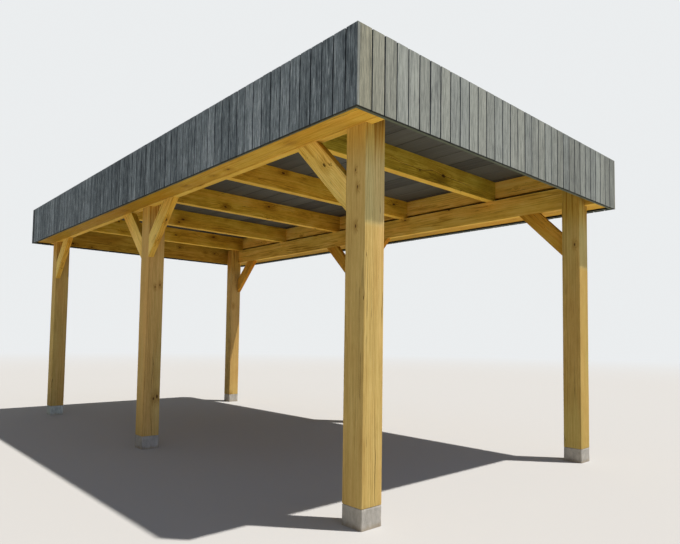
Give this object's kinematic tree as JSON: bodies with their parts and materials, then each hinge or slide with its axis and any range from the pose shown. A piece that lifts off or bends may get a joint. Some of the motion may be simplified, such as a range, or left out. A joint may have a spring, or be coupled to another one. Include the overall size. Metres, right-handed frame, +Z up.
{
  "type": "carport",
  "caption": "Open flat-roofed timber carport: square posts on plinths, long beams with knee braces, roof joists, dark boarded roof and a deep fascia of weathered grey boards.",
  "frame": {"origin": "centre of the plan, on the ground under the plinths", "axes": "+X right along the front, +Y from the car entrance at the front to the back, +Z up"},
  "size_m": [3.71, 7.036, 3.06],
  "materials": {
    "post_timber": "satin",
    "beam_timber": "satin",
    "joist_timber": "satin",
    "brace_timber": "satin",
    "board_timber": "satin",
    "weathered_cladding": "matte",
    "dark_deck": "matte",
    "roof_sheet": "matte",
    "plinth_concrete": "matte"
  },
  "bodies": {
    "root": {"back_end_boards": "board_timber", "back_fascia": "weathered_cladding", "back_left_brace": "brace_timber", "back_left_plinth": "plinth_concrete", "back_left_post": "post_timber", "back_right_brace": "brace_timber", "back_right_plinth": "plinth_concrete", "back_right_post": "post_timber", "front_end_boards": "board_timber", "front_fascia": "weathered_cladding", "front_left_brace": "brace_timber", "front_left_plinth": "plinth_concrete", "front_left_post": "post_timber", "front_right_brace": "brace_timber", "front_right_plinth": "plinth_concrete", "front_right_post": "post_timber", "joist_1": "joist_timber", "joist_2": "joist_timber", "joist_3": "joist_timber", "joist_4": "joist_timber", "joist_5": "joist_timber", "left_beam": "beam_timber", "left_fascia": "weathered_cladding", "left_rim_board": "beam_timber", "left_soffit": "board_timber", "middle_left_back_brace": "brace_timber", "middle_left_front_brace": "brace_timber", "middle_left_plinth": "plinth_concrete", "middle_left_post": "post_timber", "middle_right_back_brace": "brace_timber", "middle_right_front_brace": "brace_timber", "middle_right_plinth": "plinth_concrete", "middle_right_post": "post_timber", "right_beam": "beam_timber", "right_fascia": "weathered_cladding", "right_rim_board": "beam_timber", "right_soffit": "board_timber", "roof_covering": "roof_sheet", "roof_deck": "dark_deck"}
  },
  "joints": []
}
